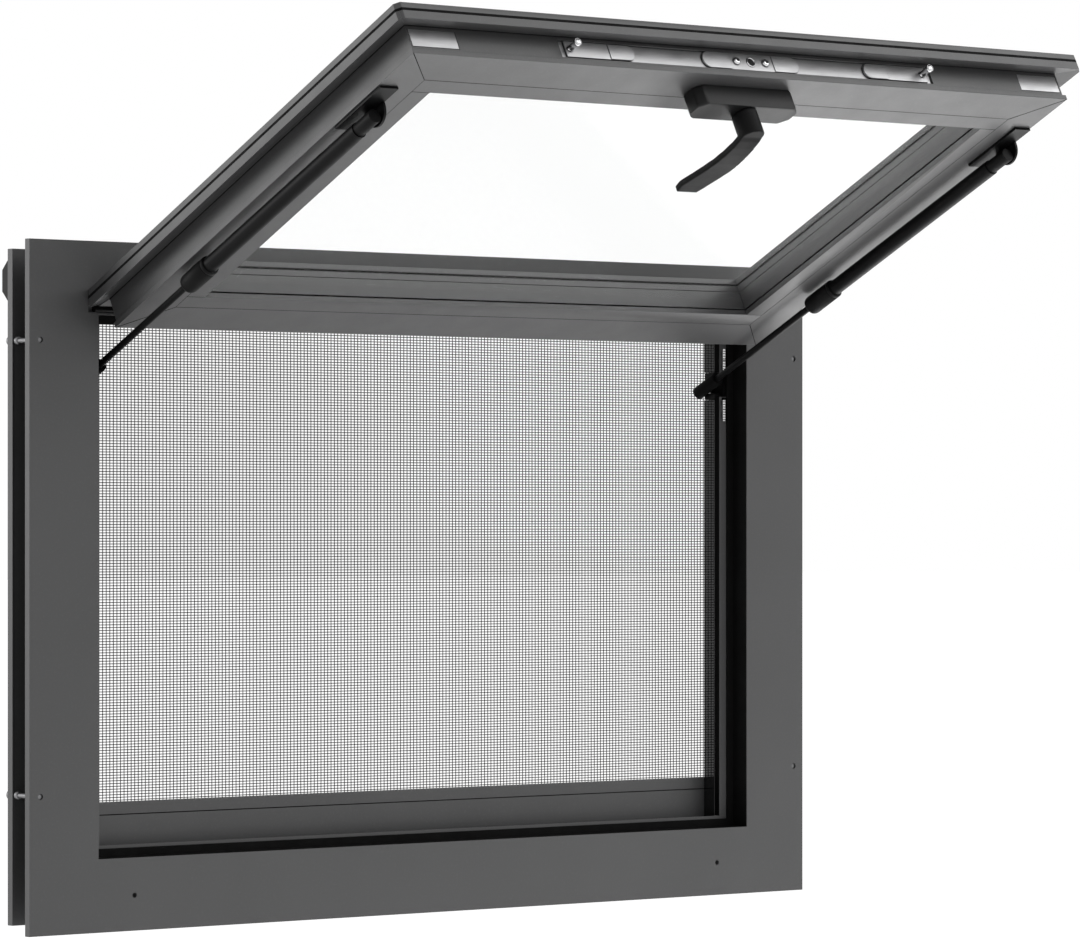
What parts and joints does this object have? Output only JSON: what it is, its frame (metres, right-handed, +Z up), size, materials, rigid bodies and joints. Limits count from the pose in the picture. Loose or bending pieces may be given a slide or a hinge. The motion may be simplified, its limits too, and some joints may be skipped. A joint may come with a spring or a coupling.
{
  "type": "service window",
  "caption": "Top-hung service window with a clamp frame, double-glazed sash propped open on gas struts, inner handle and roller insect screen.",
  "frame": {"origin": "back face of the front flange, which bears on the wall's outer face, at the middle of the flange's lower band", "axes": "+X to the right seen from outside, +Y into the wall, +Z up"},
  "size_m": [0.953, 0.5313, 0.8205],
  "materials": {
    "grey_paint": "satin dark grey powder coat",
    "black_paint": "semi-gloss black paint",
    "black_plastic": "fine matt grain",
    "black_rubber": "matt",
    "clear_glass": "polished",
    "zinc_steel": "bright zinc plate",
    "spacer_bar": "matt",
    "screen_cloth": "coated glass-fibre yarn"
  },
  "bodies": {
    "frame": {"bead_handle": "grey_paint", "bead_hinge": "grey_paint", "bead_left": "grey_paint", "bead_right": "grey_paint", "clamp_screws": "zinc_steel", "corner_cleats": "zinc_steel", "frame_bracket_left": "black_paint", "frame_bracket_right": "black_paint", "frame_seal": "black_rubber", "front_flange": "grey_paint", "glass_spacer": "spacer_bar", "handle_base": "black_plastic", "hinge_rod": "zinc_steel", "inner_pane": "clear_glass", "insect_screen": "screen_cloth", "lip_gasket": "black_rubber", "lock_centre_plate": "zinc_steel", "lock_faceplate": "zinc_steel", "outer_pane": "clear_glass", "rear_frame": "grey_paint", "reveal_head": "grey_paint", "reveal_jamb_left": "grey_paint", "reveal_jamb_right": "grey_paint", "reveal_sill": "grey_paint", "roller_end_caps": "black_plastic", "roller_housing": "black_plastic", "sash_bracket_left": "black_paint", "sash_bracket_right": "black_paint", "sash_cover": "grey_paint", "sash_rail_handle": "grey_paint", "sash_rail_hinge": "grey_paint", "sash_stile_left": "grey_paint", "sash_stile_right": "grey_paint", "screen_bottom_bar": "grey_paint", "strut_rod_left": "black_paint", "strut_rod_right": "black_paint", "strut_sleeve_left": "black_plastic", "strut_sleeve_right": "black_plastic", "strut_socket_lower_left": "black_plastic", "strut_socket_lower_right": "black_plastic", "strut_socket_upper_left": "black_plastic", "strut_socket_upper_right": "black_plastic", "strut_tube_left": "black_paint", "strut_tube_right": "black_paint"},
    "handle": {"handle_lever": "black_plastic"},
    "slide_left": {"lock_slide_left": "zinc_steel"},
    "slide_right": {"lock_slide_right": "zinc_steel"}
  },
  "joints": [
    {"name": "handle_turn", "type": "hinge", "parent": "frame", "child": "handle", "pos_m": [0, -0.43825, 0.7296], "axis": [0, -0.4509, -0.8926], "range_deg": [0, 90]},
    {"name": "slide_left_travel", "type": "slide", "parent": "frame", "child": "slide_left", "axis": [1, 0, 0], "range_m": [0, 0.015]},
    {"name": "slide_right_travel", "type": "slide", "parent": "frame", "child": "slide_right", "axis": [-1, 0, 0], "range_m": [0, 0.015]}
  ],
  "couplings": [
    {"joint": "slide_left_travel", "follows": "handle_turn", "m_per_rad": 0.00954},
    {"joint": "slide_right_travel", "follows": "handle_turn", "m_per_rad": 0.00954}
  ]
}
